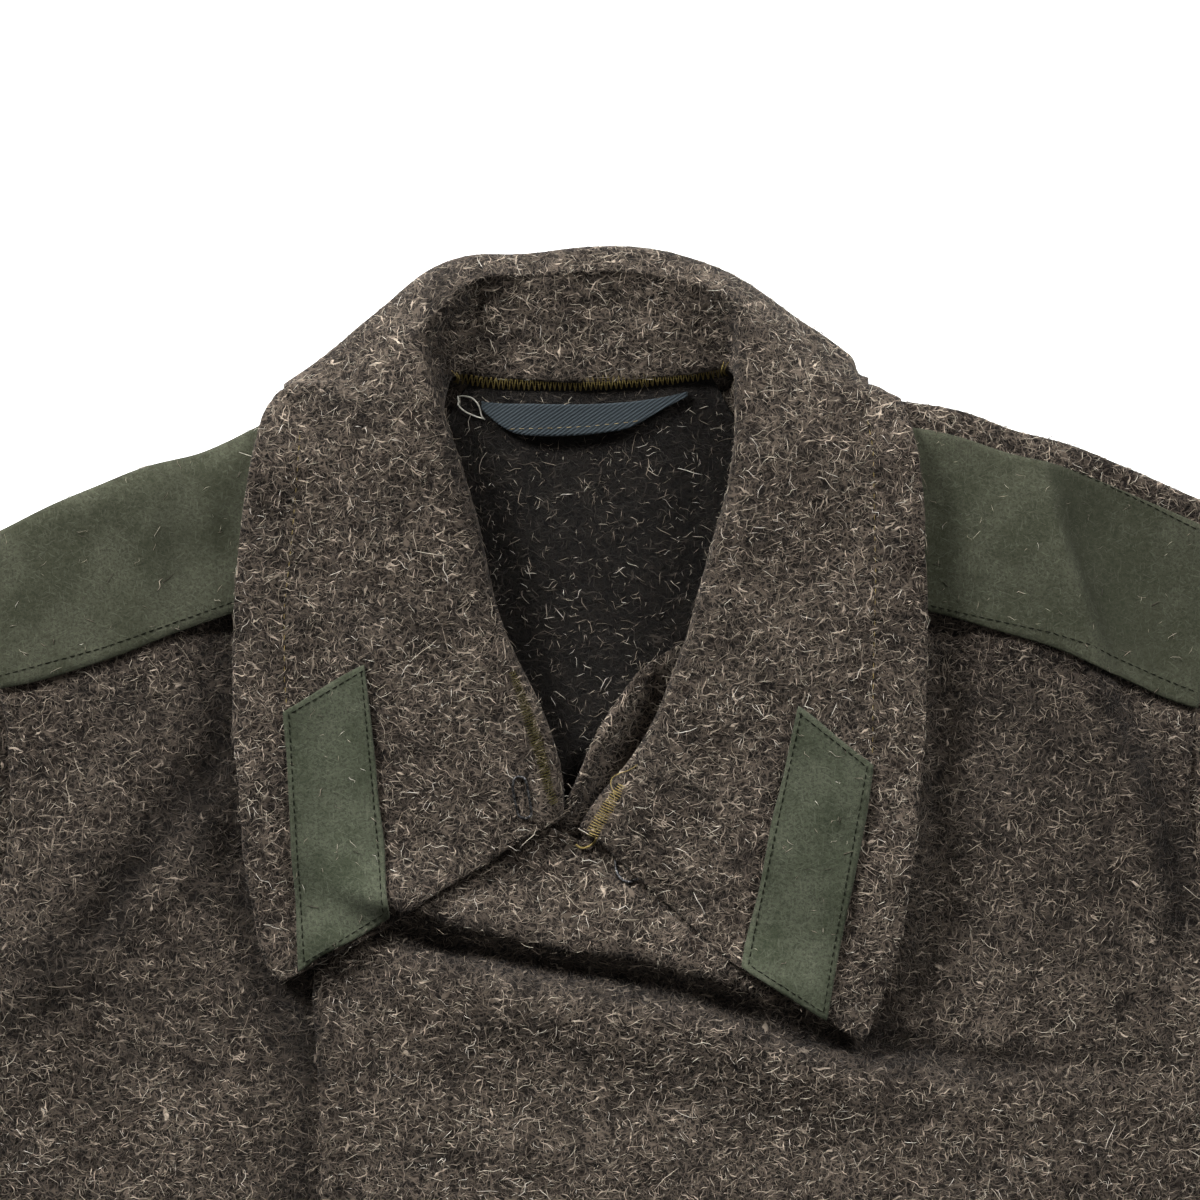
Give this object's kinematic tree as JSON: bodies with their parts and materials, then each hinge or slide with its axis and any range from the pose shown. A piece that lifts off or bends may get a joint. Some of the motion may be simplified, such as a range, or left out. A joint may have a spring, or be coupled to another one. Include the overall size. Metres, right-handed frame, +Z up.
{
  "type": "greatcoat",
  "caption": "Heavy wool greatcoat laid flat, front side up, with a wide turned-down collar, felt collar tabs and felt shoulder patches.",
  "frame": {"origin": "middle of the coat's box, on the surface that it lies on", "axes": "+Z up, +Y along the coat towards the collar, +X towards the wearer's left; the front side is up"},
  "size_m": [1.1564, 1.2102, 0.0306],
  "materials": {
    "wool": "coarse felted wool with long pale hairs",
    "felt": "smooth felt with a short nap",
    "twill": "diagonal twill tape",
    "thread": "matt sewing thread",
    "steel": "darkened wire"
  },
  "bodies": {
    "root": {"back": "wool", "front_right": "wool", "front_left": "wool", "sleeve_right": "wool", "sleeve_left": "wool", "collar": "wool", "shoulder_patch_right": "felt", "shoulder_patch_left": "felt", "collar_tab_right": "felt", "collar_tab_left": "felt", "hanger_loop": "twill", "collar_eye": "steel", "collar_hook": "steel"}
  },
  "joints": []
}
